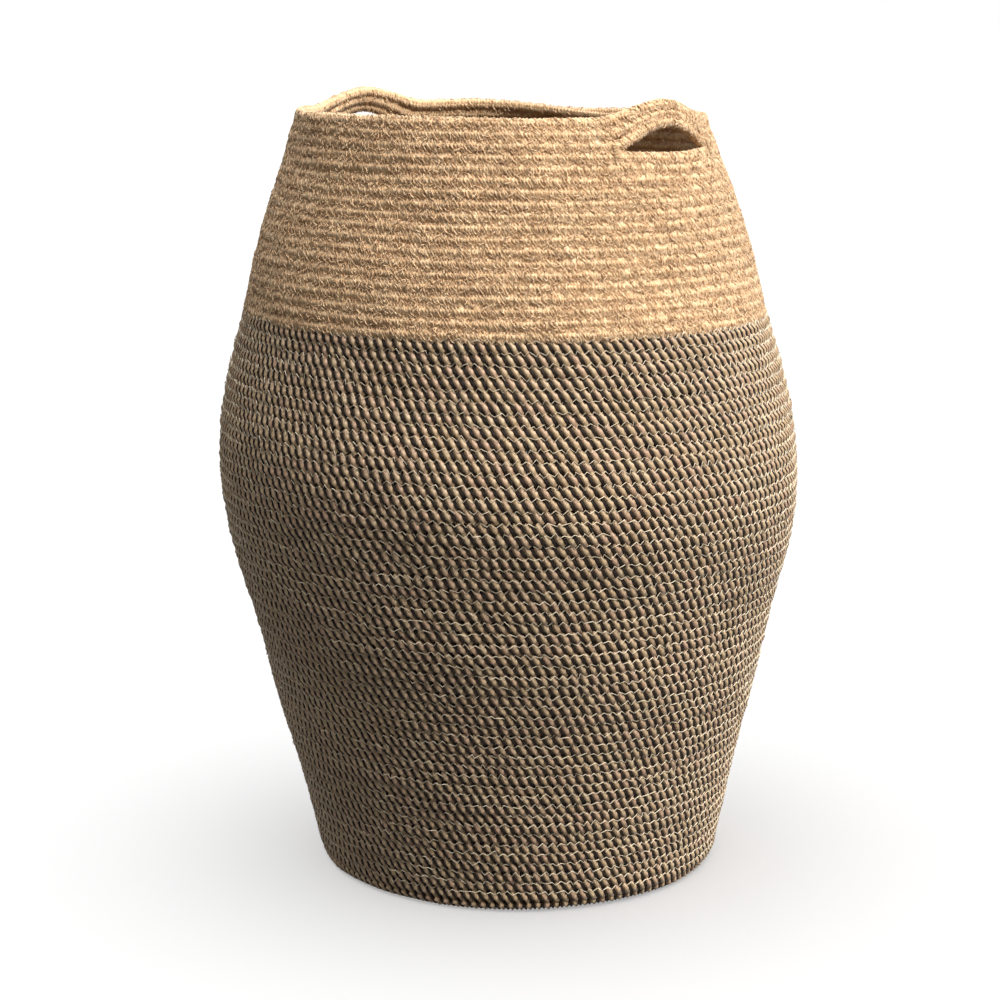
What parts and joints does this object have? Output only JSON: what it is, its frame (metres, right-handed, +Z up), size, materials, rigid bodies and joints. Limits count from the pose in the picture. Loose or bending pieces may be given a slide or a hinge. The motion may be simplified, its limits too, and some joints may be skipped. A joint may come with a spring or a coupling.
{
  "type": "woven laundry basket",
  "caption": "Tall barrel-shaped laundry basket of coiled rope: two-colour twisted rope below, natural jute braid above, with arched hand slots.",
  "frame": {"origin": "centre of the underside, on the surface the basket stands on", "axes": "+Z up along the basket's axis, handles on +X and -X, front towards -Y"},
  "size_m": [0.4992, 0.499, 0.6645],
  "materials": {
    "two_tone_rope": "twisted rope of one tan strand and one near-black brown strand, matt with slight fibre sheen",
    "jute_braid": "natural jute braid, matt and fibrous",
    "sewing_thread": "pale cotton sewing thread, slight sheen"
  },
  "bodies": {
    "root": {"base_spiral": "two_tone_rope", "heel_turns": "two_tone_rope", "lower_wall": "two_tone_rope", "middle_wall": "two_tone_rope", "belly_wall": "two_tone_rope", "shoulder_wall": "two_tone_rope", "jute_wall": "jute_braid", "rim_front": "jute_braid", "rim_back": "jute_braid", "handle_right": "jute_braid", "handle_left": "jute_braid", "handle_tacks": "sewing_thread", "rope_tail": "jute_braid"}
  },
  "joints": []
}
